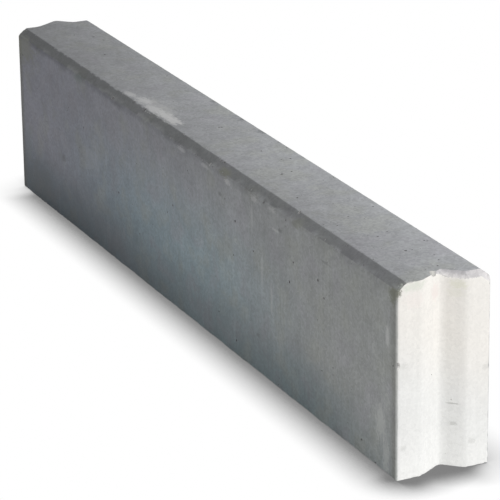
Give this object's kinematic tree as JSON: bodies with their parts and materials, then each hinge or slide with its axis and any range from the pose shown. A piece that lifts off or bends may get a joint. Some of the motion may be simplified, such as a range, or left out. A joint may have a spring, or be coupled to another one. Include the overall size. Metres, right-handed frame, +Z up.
{
  "type": "concrete kerb stone",
  "caption": "Straight concrete kerb stone with chamfered long top edges, a vertical tongue on one end and a matching groove in the other end, for edging paths and paving.",
  "frame": {"origin": "middle of the bed face, halfway between the two end faces (the tongue reaches past one of them)", "axes": "+X along the kerb towards the grooved end, +Y across it, +Z up from the bed face to the top face"},
  "size_m": [1.015, 0.1, 0.2],
  "materials": {
    "concrete": "bare cast concrete, matt, scuffed and damp-stained, paler on the end faces"
  },
  "bodies": {
    "root": {"kerb_stone": "concrete"}
  },
  "joints": []
}
